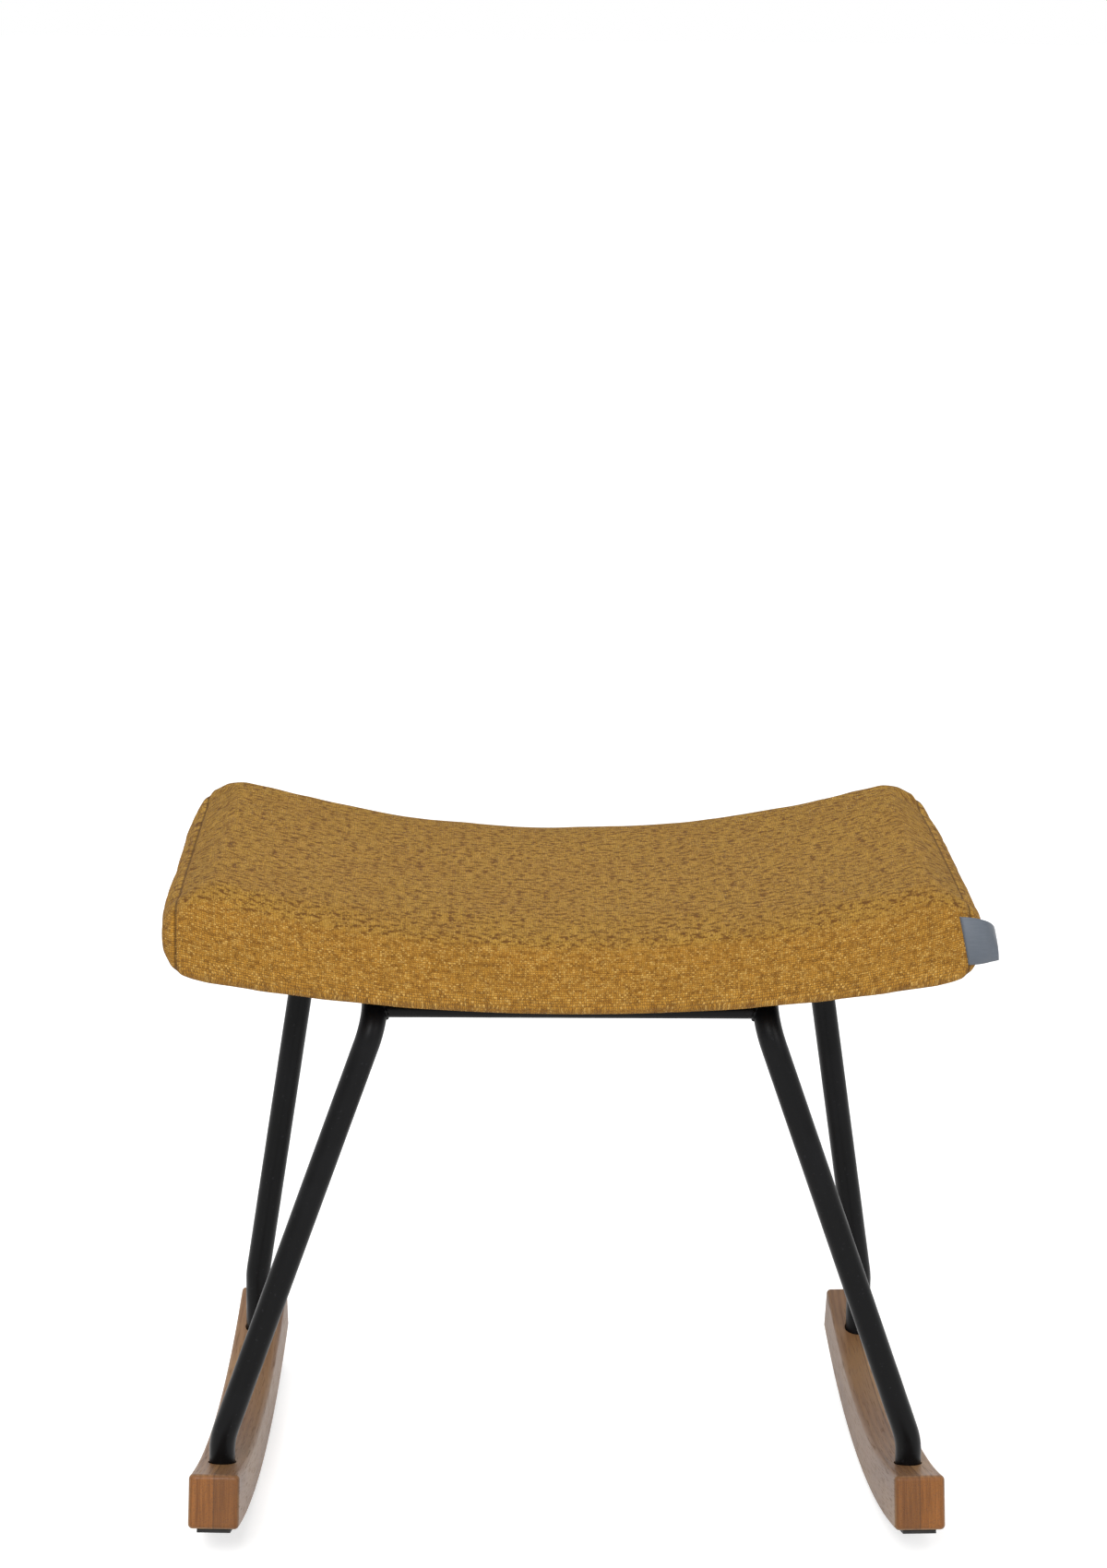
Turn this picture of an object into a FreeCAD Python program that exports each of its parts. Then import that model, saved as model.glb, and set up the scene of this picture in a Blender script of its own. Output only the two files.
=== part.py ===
import FreeCAD, Part
import math
import os
import re
import Sketcher

# Rocking footstool: two curved hardwood rockers, two bent steel tubes that are
# legs and seat rail in one, two cross tubes, and a saddle-shaped padded seat.
# Millimetres. The origin lies on the floor under the middle of the stool,
# X runs along the seat, -Y is the front and +Z is up.

# Driving dimensions

SIZES = {
    # Rockers: an arc of laminated wood, cut off square to the arc at both ends
    "rocker_radius": 600.0,
    "rocker_height": 34.0,
    "rocker_length": 344.0,
    "rocker_width": 32.0,
    "rocker_rounding": 3.0,
    "rocker_spacing": 430.0,
    "rocker_toe": 2.3,
    # Anti-slip strips under the rockers
    "strip_width": 21.0,
    "strip_thickness": 2.5,
    # Sockets for the legs
    "leg_spacing": 231.0,
    "socket_depth": 20.0,
    "socket_fit": 0.8,
    # Bent side tubes
    "tube_diameter": 16.5,
    "tube_wall": 1.5,
    "front_knee_height": 64.0,
    "rear_knee_height": 88.0,
    "knee_bend": 45.0,
    "shoulder_bend": 26.0,
    "front_rail_spacing": 237.0,
    "rear_rail_spacing": 340.0,
    "front_rail_reach": 108.0,
    "rear_rail_reach": 128.0,
    # Cross tubes, each at a share of the shoulder bend, counted from the leg
    "cross_diameter": 10.0,
    "cross_wall": 1.2,
    "front_cross_share": 0.57,
    "rear_cross_share": 0.38,
    # Seat
    "seat_width": 503.0,
    "seat_depth": 308.0,
    "seat_low_top": 403.0,
    "seat_low_bottom": 355.0,
    "seat_top_radius": 890.0,
    "seat_bottom_radius": 1300.0,
    "seat_corner": 26.0,
    "seat_edge": 15.0,
    "cover_thickness": 1.2,
    "cover_hem": 34.0,
    "end_panel_inset": 9.5,
    "soft_gap": 0.3,
    # Seat board and dust cover
    "board_thickness": 12.0,
    "board_margin": 14.0,
    "board_corner": 30.0,
    "dust_thickness": 0.8,
    "dust_overlap": 14.0,
    # Label tab in the right front seam
    "tab_height": 31.0,
    "tab_thickness": 0.9,
    "tab_root_inset": 5.5,
    "tab_stand_out": 18.5,
    # Height of the tab's lower edge above the lowest part of the seat
    "tab_rise": 28.0,
    # Lugs on the rails
    "lug_length": 34.0,
    "lug_width": 26.0,
    "lug_thickness": 3.0,
    "lug_corner": 5.0,
    "lug_bolt_inset": 10.0,
    "lug_rail_inset": 3.5,
    "front_lug_reach": 62.0,
    "rear_lug_reach": 84.0,
    # Bolts, washers, tee nuts and leg plugs
    "bolt_diameter": 6.0,
    "bolt_clearance": 0.25,
    "bolt_head_diameter": 10.5,
    "bolt_head_height": 4.0,
    "washer_diameter": 13.0,
    "washer_thickness": 1.2,
    "counterbore_depth": 6.0,
    "plug_length": 12.0,
    "nut_flange_diameter": 19.0,
    "nut_flange_thickness": 1.4,
    "nut_barrel_diameter": 8.0,
    "nut_barrel_length": 9.0,
}

# Sizes that follow from the driving ones

LAYOUT = {
    # Rockers
    "rocker_centre": "strip_thickness + rocker_radius",
    "rocker_top_radius": "rocker_radius - rocker_height",
    "rocker_middle": "rocker_spacing / 2",
    "strip_radius": "rocker_radius + strip_thickness",
    # Sockets: height of the mouth, the floor and the rocker's underside below them
    "socket_reach": "leg_spacing / 2",
    "socket_mouth": "rocker_centre - sqrt(pow(rocker_top_radius; 2) - pow(socket_reach; 2))",
    "socket_floor": "socket_mouth - socket_depth",
    "socket_under": "rocker_centre - sqrt(pow(rocker_radius; 2) - pow(socket_reach; 2))",
    "socket_radius": "tube_diameter / 2 + socket_fit",
    "socket_swing": "socket_reach * sin(rocker_toe * 1deg)",
    "socket_y": "socket_reach * cos(rocker_toe * 1deg)",
    "counterbore_roof": "socket_under + counterbore_depth",
    "counterbore_radius": "washer_diameter / 2 + bolt_clearance",
    # Seat: the upper and lower arcs and the layers under the seat, as radii of the lower arc
    "seat_top_centre": "seat_low_top + seat_top_radius",
    "seat_centre": "seat_low_bottom + seat_bottom_radius",
    "foam_inset": "cover_thickness + soft_gap",
    "board_under": "seat_bottom_radius - foam_inset",
    "board_top": "board_under - board_thickness",
    "foam_under": "board_top - soft_gap",
    "board_half_width": "seat_width / 2 - foam_inset - board_margin",
    "board_depth": "seat_depth - 2 * foam_inset - 2 * board_margin",
    "dust_top": "seat_bottom_radius + soft_gap",
    "dust_under": "dust_top + dust_thickness",
    "window_half_width": "seat_width / 2 - seat_corner - cover_hem",
    "window_depth": "seat_depth - 2 * seat_edge - 2 * cover_hem",
    "lug_top": "dust_under + soft_gap",
    "panel_start": "seat_width / 2 - end_panel_inset",
    # Rails, tangent to the same level as the lugs
    "tube_radius": "tube_diameter / 2",
    "rail_radius": "lug_top + tube_radius",
    "front_rail_x": "front_rail_spacing / 2",
    "rear_rail_x": "rear_rail_spacing / 2",
    "front_rail_z": "seat_centre - sqrt(pow(rail_radius; 2) - pow(front_rail_x; 2))",
    "rear_rail_z": "seat_centre - sqrt(pow(rail_radius; 2) - pow(rear_rail_x; 2))",
    "rail_splay": "(rear_rail_x - front_rail_x) / (front_rail_reach + rear_rail_reach)",
    # Seat bolts: distance from the middle of the seat and tilt towards it
    "bolt_to_rail": "lug_rail_inset + lug_width - lug_bolt_inset",
    "lug_skew": "rail_splay * lug_length / 2",
    "front_bolt_x": "front_rail_x + rail_splay * (front_rail_reach - front_lug_reach) - bolt_to_rail",
    "rear_bolt_x": "front_rail_x + rail_splay * (front_rail_reach + rear_lug_reach) - bolt_to_rail",
    "front_bolt_tilt": "asin(front_bolt_x / lug_top) / 1deg",
    "rear_bolt_tilt": "asin(rear_bolt_x / lug_top) / 1deg",
    "bolt_radius": "bolt_diameter / 2",
    "bolt_hole_radius": "bolt_radius + bolt_clearance",
    # Heights above the top of the lug, along a seat bolt
    "board_top_rise": "lug_top - board_top",
    "nut_barrel_foot": "board_top_rise - nut_barrel_length",
    # Label tab, just off the rounded front edge of the end panel
    "tab_width": "tab_root_inset + tab_stand_out",
    "tab_y": (
        "seat_depth / 2 - seat_edge + sqrt(pow(seat_edge; 2) - pow(seat_edge - tab_root_inset; 2))"
        " + soft_gap"
    ),
}

SIDES = {"left": -1, "right": 1}
ENDS = {"front": -1, "rear": 1}
NODES = []

document = FreeCAD.newDocument("RockingFootstool")


def formula(text):
    """Puts the name of the sheet or of the layout before each size in a formula."""

    def owner(match):
        word = match.group()
        if word in SIZES:
            return f"Sizes.{word}"
        if word in LAYOUT:
            return f"Layout.{word}"
        return word

    return re.sub(r"[a-z_]+", owner, text)


def bind(thing, **formulas):
    """Ties properties to formulas; two underscores in a name stand for a dot."""
    for name, text in formulas.items():
        thing.setExpression(name.replace("__", "."), formula(text))


def make_sheet():
    """The spreadsheet with the driving dimensions."""
    sheet = document.addObject("Spreadsheet::Sheet", "Sizes")
    for row, (alias, number) in enumerate(SIZES.items(), start=1):
        sheet.set(f"A{row}", alias)
        sheet.set(f"B{row}", str(number))
        sheet.setAlias(f"B{row}", alias)
    document.recompute()
    return sheet


def make_layout():
    """The set of sizes worked out from the sheet."""
    layout = document.addObject("App::VarSet", "Layout")
    for name, text in LAYOUT.items():
        layout.addProperty("App::PropertyFloat", name)
        bind(layout, **{name: text})
    document.recompute()
    return layout


sheet = make_sheet()
layout = make_layout()


def size(name):
    """The number behind a name of the sheet or the layout."""
    if name in LAYOUT:
        return getattr(layout, name)
    return float(sheet.get(name))


def node(thing, label):
    """Marks an object as a sub-part, written under its label."""
    thing.Label = label
    NODES.append(thing)
    return thing


# Small helpers for bodies, sketches and solids


def plane(body, role):
    """One of a body's own origin planes."""
    return next(item for item in body.Origin.OriginFeatures if item.Role == role)


def new_sketch(body, name, role):
    """An empty sketch on an origin plane of its body."""
    sketch = body.newObject("Sketcher::SketchObject", name)
    sketch.AttachmentSupport = [(plane(body, role), "")]
    sketch.MapMode = "FlatFace"
    return sketch


def dimension(sketch, name, text, *constraint):
    """Adds a named dimension and ties it to a formula."""
    index = sketch.addConstraint(Sketcher.Constraint(*constraint))
    sketch.renameConstraint(index, name)
    sketch.setExpression(f"Constraints.{name}", formula(text))


ROOT = (-1, 1)
UPRIGHT = -2
START, END, MIDDLE = range(1, 4)


def first_size(text):
    """The number behind the first name of a formula, as a sketch's starting value."""
    return size(text.split()[0])


def arc_band(sketch, lower, upper, half_width, radial=False):
    """A band between two arcs that sag towards the floor, with their middles on the upright axis.

    lower and upper are (height of the arc's middle, radius). The ends are upright, or radial,
    and half_width is half the chord of the lower arc.
    """
    half = size("rocker_length" if radial else "seat_width") / 2
    arcs = []
    for centre, radius in (lower, upper):
        middle = size(centre)
        reach = first_size(radius)
        lean = math.asin(half / reach)
        circle = Part.Circle(FreeCAD.Vector(0, middle, 0), FreeCAD.Vector(0, 0, 1), reach)
        begin = -math.pi / 2 - lean
        finish = -math.pi / 2 + lean
        arcs.append(sketch.addGeometry(Part.ArcOfCircle(circle, begin, finish), False))
    bottom, top = arcs
    ends = []
    for point in (START, END):
        foot = sketch.getPoint(bottom, point)
        head = sketch.getPoint(top, point)
        ends.append(sketch.addGeometry(Part.LineSegment(foot, head), False))
        sketch.addConstraint(Sketcher.Constraint("Coincident", ends[-1], START, bottom, point))
        sketch.addConstraint(Sketcher.Constraint("Coincident", ends[-1], END, top, point))
    sketch.addConstraint(Sketcher.Constraint("PointOnObject", bottom, MIDDLE, UPRIGHT))
    dimension(sketch, "LowerMiddle", lower[0], "DistanceY", *ROOT, bottom, MIDDLE, size(lower[0]))
    if radial:
        sketch.addConstraint(Sketcher.Constraint("Coincident", top, MIDDLE, bottom, MIDDLE))
        for line in ends:
            sketch.addConstraint(Sketcher.Constraint("PointOnObject", bottom, MIDDLE, line))
    else:
        sketch.addConstraint(Sketcher.Constraint("PointOnObject", top, MIDDLE, UPRIGHT))
        dimension(sketch, "UpperMiddle", upper[0], "DistanceY", *ROOT, top, MIDDLE, size(upper[0]))
        for line in ends:
            sketch.addConstraint(Sketcher.Constraint("Vertical", line))
    dimension(sketch, "LowerRadius", lower[1], "Radius", bottom, first_size(lower[1]))
    dimension(sketch, "UpperRadius", upper[1], "Radius", top, first_size(upper[1]))
    dimension(sketch, "LeftEnd", half_width, "DistanceX", bottom, START, *ROOT, half)
    dimension(sketch, "RightEnd", half_width, "DistanceX", *ROOT, bottom, END, half)


def pad(body, sketch, length):
    """Pads a sketch to both sides of its plane."""
    feature = body.newObject("PartDesign::Pad", "Pad")
    feature.Profile = sketch
    feature.SideType = "Symmetric"
    bind(feature, Length=length)
    document.recompute()
    return feature


def round_edges(body, base, keep, radius):
    """Fillets the edges of a feature that pass a test."""
    names = [f"Edge{n}" for n, edge in enumerate(base.Shape.Edges, start=1) if keep(edge)]
    feature = body.newObject("PartDesign::Fillet", "Fillet")
    feature.Base = (base, names)
    bind(feature, Radius=radius)
    document.recompute()
    return feature


def spread(edge, axis):
    """How far an edge's box reaches along an axis."""
    return getattr(edge.BoundBox, f"{axis}Length")


def upright(edge):
    """Whether an edge stands straight up in its body."""
    return max(spread(edge, "X"), spread(edge, "Y")) < 0.01


def cylinder(name, radius, height, foot="0"):
    """A cylinder on the Z axis, with its foot at a height."""
    thing = document.addObject("Part::Cylinder", name)
    bind(thing, Radius=radius, Height=height, Placement__Base__z=foot)
    return thing


def cut(name, base, tool):
    """One solid less another."""
    thing = document.addObject("Part::Cut", name)
    thing.Base = base
    thing.Tool = tool
    return thing


def common(name, base, tool):
    """What two solids share."""
    thing = document.addObject("Part::Common", name)
    thing.Base = base
    thing.Tool = tool
    return thing


def fuse(name, pieces):
    """Several solids joined into one."""
    thing = document.addObject("Part::MultiFuse", name)
    thing.Shapes = pieces
    return thing


def group(name, pieces):
    """Several separate solids kept together."""
    thing = document.addObject("Part::Compound", name)
    thing.Links = pieces
    return thing


# Rockers and their strips


def place_on_rocker(thing, side):
    """Moves a piece modelled about the rocker's own middle to its side, toed in towards the rear."""
    thing.Placement.Rotation = FreeCAD.Rotation(FreeCAD.Vector(0, 0, 1), side)
    bind(thing, Placement__Base__x=f"{side} * rocker_middle")
    bind(thing, Placement__Rotation__Angle=f"{side} * rocker_toe")


def socket_circles(sketch, radius):
    """A circle at each leg socket of a rocker."""
    for end, sign in ENDS.items():
        middle = FreeCAD.Vector(0, sign * size("socket_reach"), 0)
        circle = Part.Circle(middle, FreeCAD.Vector(0, 0, 1), size(radius))
        index = sketch.addGeometry(circle, False)
        sketch.addConstraint(Sketcher.Constraint("PointOnObject", index, MIDDLE, UPRIGHT))
        points = (*ROOT, index, MIDDLE) if sign > 0 else (index, MIDDLE, *ROOT)
        dimension(sketch, f"{end}Reach", "socket_reach", "DistanceY", *points, size("socket_reach"))
        dimension(sketch, f"{end}Radius", radius, "Radius", index, size(radius))


def drill_rocker(body, name, radius, level, upwards):
    """Drills both ends of a rocker from a level, up or down."""
    sketch = new_sketch(body, f"{name}Circles", "XY_Plane")
    bind(sketch, AttachmentOffset__Base__z=level)
    socket_circles(sketch, radius)
    before = body.Shape.Volume
    pocket = body.newObject("PartDesign::Pocket", name)
    pocket.Profile = sketch
    pocket.Type = "ThroughAll"
    pocket.Reversed = upwards
    document.recompute()
    if not body.Shape.Volume < before:
        raise RuntimeError(f"{name} removed nothing")


def make_rocker(name, side):
    """A rocker: the arc, softened edges, leg sockets, bolt holes and counterbores."""
    body = document.addObject("PartDesign::Body", f"Rocker{name}")
    sketch = new_sketch(body, "RockerOutline", "YZ_Plane")
    arc_band(
        sketch,
        ("rocker_centre", "rocker_radius"),
        ("rocker_centre", "rocker_top_radius"),
        "rocker_length / 2",
        radial=True,
    )
    base = pad(body, sketch, "rocker_width")
    round_edges(body, base, lambda edge: True, "rocker_rounding")
    drill_rocker(body, "Socket", "socket_radius", "socket_floor", True)
    drill_rocker(body, "BoltHole", "bolt_hole_radius", "0", True)
    drill_rocker(body, "Counterbore", "counterbore_radius", "counterbore_roof", False)
    place_on_rocker(body, side)
    return node(body, f"rocker_{name}")


def make_strip(name, side):
    """The anti-slip strip under a rocker, which ends where the wood's edge rounding starts."""
    body = document.addObject("PartDesign::Body", f"Strip{name}")
    sketch = new_sketch(body, "StripOutline", "YZ_Plane")
    arc_band(
        sketch,
        ("rocker_centre", "strip_radius"),
        ("rocker_centre", "rocker_radius"),
        "rocker_length / 2 - rocker_rounding",
        radial=True,
    )
    pad(body, sketch, "strip_width")
    place_on_rocker(body, side)
    return node(body, f"rocker_strip_{name}")


# Bent side tubes


def side_corners(side):
    """Corners of a side tube's middle line, from the front socket to the rear socket."""
    middle = size("rocker_middle")
    swing = size("socket_swing")
    reach = size("socket_y")
    floor = size("socket_floor")
    front = side * (middle + swing)
    rear = side * (middle - swing)
    front_rail = (side * size("front_rail_x"), -size("front_rail_reach"), size("front_rail_z"))
    rear_rail = (side * size("rear_rail_x"), size("rear_rail_reach"), size("rear_rail_z"))
    points = [
        (front, -reach, floor),
        (front, -reach, size("front_knee_height")),
        front_rail,
        rear_rail,
        (rear, reach, size("rear_knee_height")),
        (rear, reach, floor),
    ]
    return [FreeCAD.Vector(*point) for point in points]


def bent_edges(corners, bends):
    """Straight runs joined by tangent arcs, as edges in order."""
    edges = []
    begin = corners[0]
    for before, corner, after, bend in zip(corners, corners[1:], corners[2:], bends):
        back = (before - corner).normalize()
        ahead = (after - corner).normalize()
        half = back.getAngle(ahead) / 2
        tangent = bend / math.tan(half)
        inward = (back + ahead).normalize()
        first = corner + back * tangent
        last = corner + ahead * tangent
        crown = corner + inward * (bend / math.sin(half) - bend)
        edges.append(Part.LineSegment(begin, first).toShape())
        edges.append(Part.Arc(first, crown, last).toShape())
        begin = last
    edges.append(Part.LineSegment(begin, corners[-1]).toShape())
    return edges


def make_path(name, side):
    """The middle line of a side tube. It bends out of every plane, so it is worked out here."""
    knee = size("knee_bend")
    shoulder = size("shoulder_bend")
    edges = bent_edges(side_corners(side), (knee, shoulder, shoulder, knee))
    path = document.addObject("Part::Feature", f"TubePath{name}")
    path.Shape = Part.Wire(edges)
    return path


def sweep(name, path, side, radius):
    """A round bar along a side tube's middle line, from the floor of the front socket."""
    circle = document.addObject("Part::Circle", f"{name}Circle")
    bind(
        circle,
        Radius=radius,
        Placement__Base__x=f"{side} * (rocker_middle + socket_swing)",
        Placement__Base__y="-socket_y",
        Placement__Base__z="socket_floor",
    )
    bar = document.addObject("Part::Sweep", name)
    bar.Sections = [circle]
    bar.Spine = (path, [f"Edge{n + 1}" for n in range(len(path.Shape.Edges))])
    bar.Solid = True
    bar.Transition = "Right corner"
    return bar


def make_side_tube(name, side):
    """A bent tube: front leg, seat rail and rear leg in one. Returns its outer bar and its path."""
    path = make_path(name, side)
    bar = sweep(f"TubeBar{name}", path, side, "tube_radius")
    bore = sweep(f"TubeBore{name}", path, side, "tube_radius - tube_wall")
    node(cut(f"SideTube{name}", bar, bore), f"side_tube_{name}")
    return bar, path


def make_cross_tube(end, bars, path):
    """A tube between the two shoulders at one end, coped against both side tubes."""
    share = size(f"{end}_cross_share")
    bend = path.Shape.Edges[3] if end == "front" else path.Shape.Edges[5]
    along = share if end == "front" else 1 - share
    spot = bend.valueAt(bend.FirstParameter + along * (bend.LastParameter - bend.FirstParameter))
    solids = []
    for part, radius in (("Bar", "cross_diameter / 2"), ("Bore", "cross_diameter / 2 - cross_wall")):
        bar = document.addObject("Part::Cylinder", f"Cross{part}{end}")
        bind(bar, Radius=radius)
        bar.Height = 2 * abs(spot.x)
        turn = FreeCAD.Rotation(FreeCAD.Vector(0, 1, 0), 90)
        bar.Placement = FreeCAD.Placement(FreeCAD.Vector(-abs(spot.x), spot.y, spot.z), turn)
        solids.append(bar)
    hollow = cut(f"CrossHollow{end}", *solids)
    coped = cut(f"CrossCoped{end}", hollow, bars[0])
    return node(cut(f"CrossTube{end}", coped, bars[1]), f"{end}_cross_tube")


# Plugs and bolts in the feet of the legs


def place_in_leg(thing, side, end, foot):
    """Stands a piece modelled on the Z axis under a leg, with its foot at a height."""
    sign = ENDS[end]
    bind(
        thing,
        Placement__Base__x=f"{side} * (rocker_middle - {sign} * socket_swing)",
        Placement__Base__y=f"{sign} * socket_y",
        Placement__Base__z=foot,
    )
    return thing


def make_leg_plug(name, side, end):
    """The threaded plug welded into the foot of a leg."""
    tag = f"{end}{name}"
    body = cylinder(f"PlugBody{tag}", "tube_radius - tube_wall", "plug_length")
    thread = cylinder(f"PlugThread{tag}", "bolt_radius", "plug_length")
    for thing in (body, thread):
        place_in_leg(thing, side, end, "socket_floor")
    return node(cut(f"Plug{tag}", body, thread), f"leg_plug_{end}_{name}")


def make_rocker_bolt(name, side, end):
    """The bolt that goes up through a rocker into the plug."""
    tag = f"{end}{name}"
    reach = "socket_floor + plug_length - counterbore_roof + washer_thickness"
    shank = cylinder(f"RockerShank{tag}", "bolt_radius", reach)
    head = cylinder(f"RockerHead{tag}", "bolt_head_diameter / 2", "bolt_head_height")
    place_in_leg(shank, side, end, "counterbore_roof - washer_thickness")
    place_in_leg(head, side, end, "counterbore_roof - washer_thickness - bolt_head_height")
    return fuse(f"RockerBolt{tag}", [shank, head])


def make_rocker_washer(name, side, end):
    """The washer in the roof of a rocker's counterbore."""
    tag = f"{end}{name}"
    disc = cylinder(f"RockerDisc{tag}", "washer_diameter / 2", "washer_thickness")
    hole = cylinder(f"RockerDiscHole{tag}", "bolt_hole_radius", "washer_thickness")
    for thing in (disc, hole):
        place_in_leg(thing, side, end, "counterbore_roof - washer_thickness")
    return cut(f"RockerWasher{tag}", disc, hole)


# Seat


def seat_form(name, inset):
    """The saddle shape of the seat, smaller all round by an inset."""
    body = document.addObject("PartDesign::Body", name)
    sketch = new_sketch(body, "SeatProfile", "XZ_Plane")
    arc_band(
        sketch,
        ("seat_centre", f"seat_bottom_radius - {inset}"),
        ("seat_top_centre", f"seat_top_radius + {inset}"),
        f"seat_width / 2 - {inset}",
    )
    base = pad(body, sketch, f"seat_depth - 2 * {inset}")
    corners = round_edges(
        body,
        base,
        lambda edge: spread(edge, "Y") > size("seat_depth") / 2,
        f"seat_corner - {inset}",
    )
    round_edges(
        body,
        corners,
        lambda edge: spread(edge, "Y") < 1,
        f"seat_edge - {inset}",
    )
    return body


def curved_sheet(name, upper, lower, half_width, depth, corner=None):
    """A board or cloth that follows the underside of the seat, with round or square corners."""
    body = document.addObject("PartDesign::Body", name)
    sketch = new_sketch(body, "SheetProfile", "XZ_Plane")
    arc_band(sketch, ("seat_centre", lower), ("seat_centre", upper), half_width)
    base = pad(body, sketch, depth)
    if corner:
        round_edges(body, base, upright, corner)
    return body


def block(name, half_width, depth, foot, height, start="0"):
    """A box across the seat, from start to start plus twice half_width when it is off the middle."""
    box = document.addObject("Part::Box", name)
    bind(
        box,
        Length=f"2 * ({half_width})",
        Width=depth,
        Height=height,
        Placement__Base__x=f"({start}) - ({half_width})",
        Placement__Base__y=f"-({depth}) / 2",
        Placement__Base__z=foot,
    )
    return box


def place_on_lug(thing, side, end, rise="0"):
    """Stands a piece on a seat bolt's line: its origin is that far above the top of the lug."""
    sign = ENDS[end]
    thing.Placement.Rotation = FreeCAD.Rotation(FreeCAD.Vector(0, 1, 0), -side)
    tilt = f"{end}_bolt_tilt * 1deg"
    bind(
        thing,
        Placement__Rotation__Angle=f"{-side} * {end}_bolt_tilt",
        Placement__Base__x=f"{side} * (lug_top - ({rise})) * sin({tilt})",
        Placement__Base__y=f"{sign} * {end}_lug_reach",
        Placement__Base__z=f"seat_centre - (lug_top - ({rise})) * cos({tilt})",
    )
    return thing


def make_bolt_space(name, radius, height, foot):
    """Four round bars on the lines of the seat bolts, as one cutting tool."""
    bars = []
    for side_name, side in SIDES.items():
        for end in ENDS:
            bar = cylinder(f"{name}{end}{side_name}", radius, height)
            bars.append(place_on_lug(bar, side, end, foot))
    return fuse(name, bars)


def make_board():
    """The moulded plywood board with its four bolt holes."""
    board = curved_sheet(
        "BoardSheet", "board_top", "board_under", "board_half_width", "board_depth", "board_corner"
    )
    holes = make_bolt_space("BoardHoles", "bolt_hole_radius", "board_top_rise", "0")
    barrels = make_bolt_space(
        "BarrelHoles", "nut_barrel_diameter / 2", "nut_barrel_length + soft_gap", "nut_barrel_foot"
    )
    drilled = cut("BoardDrilled", board, holes)
    return node(cut("Board", drilled, barrels), "seat_board")


def make_foam():
    """The foam pad: the seat form less the space of the board and the flanges of the tee nuts."""
    form = seat_form("FoamForm", "foam_inset")
    space = curved_sheet(
        "BoardSpace",
        "foam_under",
        "board_under + 2 * foam_inset",
        "board_half_width + soft_gap",
        "board_depth + 2 * soft_gap",
        "board_corner + soft_gap",
    )
    flanges = make_bolt_space(
        "FlangeSpace",
        "nut_flange_diameter / 2 + soft_gap",
        "nut_flange_thickness + soft_gap",
        "board_top_rise",
    )
    return node(cut("Foam", form, fuse("FoamSpace", [space, flanges])), "seat_foam")


def make_cover():
    """The upholstery: one shell with a hem under the board, cut into main panel and end panels."""
    outside = seat_form("CoverOutside", "0")
    inside = seat_form("CoverInside", "cover_thickness")
    window = block("HemWindow", "window_half_width", "window_depth", "0", "seat_low_top - board_thickness")
    shell = cut("CoverShell", cut("CoverHollow", outside, inside), window)
    main = block("MainPanelSpace", "panel_start", "2 * seat_depth", "0", "2 * seat_low_top")
    node(common("MainPanel", shell, main), "cover_main_panel")
    for name, side in SIDES.items():
        space = block(
            f"EndPanelSpace{name}",
            "end_panel_inset",
            "2 * seat_depth",
            "0",
            "2 * seat_low_top",
            f"{side} * (panel_start + end_panel_inset)",
        )
        node(common(f"EndPanel{name}", shell, space), f"cover_end_panel_{name}")


def make_dust_cover():
    """The black cloth under the board, over the hem, with holes for the bolts."""
    cloth = curved_sheet(
        "DustSheet",
        "dust_top",
        "dust_under",
        "window_half_width + dust_overlap",
        "window_depth + 2 * dust_overlap",
    )
    holes = make_bolt_space("DustHoles", "bolt_hole_radius", "dust_thickness + 2 * soft_gap", "0")
    return node(cut("DustCover", cloth, holes), "dust_cover")


def make_label_tab():
    """The bare cloth tab that stands out of the right front seam."""
    tab = document.addObject("Part::Box", "LabelTab")
    bind(
        tab,
        Length="tab_width",
        Width="tab_thickness",
        Height="tab_height",
        Placement__Base__x="seat_width / 2 - tab_root_inset",
        Placement__Base__y="-tab_y - tab_thickness",
        Placement__Base__z="seat_low_bottom + tab_rise",
    )
    return node(tab, "label_tab")


# Lugs and their fasteners


def lug_outline(sketch, side):
    """A lug in plan about its bolt hole, with its outer edge in line with the splayed rail."""
    inner = side * -size("lug_bolt_inset")
    outer = side * (size("lug_width") - size("lug_bolt_inset"))
    skew = side * size("lug_skew")
    deep = size("lug_length") / 2
    plan = [(inner, -deep), (outer - skew, -deep), (outer + skew, deep), (inner, deep)]
    points = [FreeCAD.Vector(x, y, 0) for x, y in plan]
    for line, (begin, finish) in enumerate(zip(points, points[1:] + points[:1])):
        sketch.addGeometry(Part.LineSegment(begin, finish), False)
    for line in range(4):
        sketch.addConstraint(Sketcher.Constraint("Coincident", line, END, (line + 1) % 4, START))
    for line, direction in enumerate(("Horizontal", None, "Horizontal", "Vertical")):
        if direction:
            sketch.addConstraint(Sketcher.Constraint(direction, line))

    def across(name, text, corner):
        points = (*ROOT, corner, START) if plan[corner][0] > 0 else (corner, START, *ROOT)
        dimension(sketch, name, text, "DistanceX", *points, abs(plan[corner][0]))

    across("Inner", "lug_bolt_inset", 0)
    across("OuterFront", "lug_width - lug_bolt_inset - lug_skew", 1)
    across("OuterRear", "lug_width - lug_bolt_inset + lug_skew", 2)
    dimension(sketch, "Front", "lug_length / 2", "DistanceY", 0, START, *ROOT, deep)
    dimension(sketch, "Rear", "lug_length / 2", "DistanceY", *ROOT, 2, START, deep)


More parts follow.
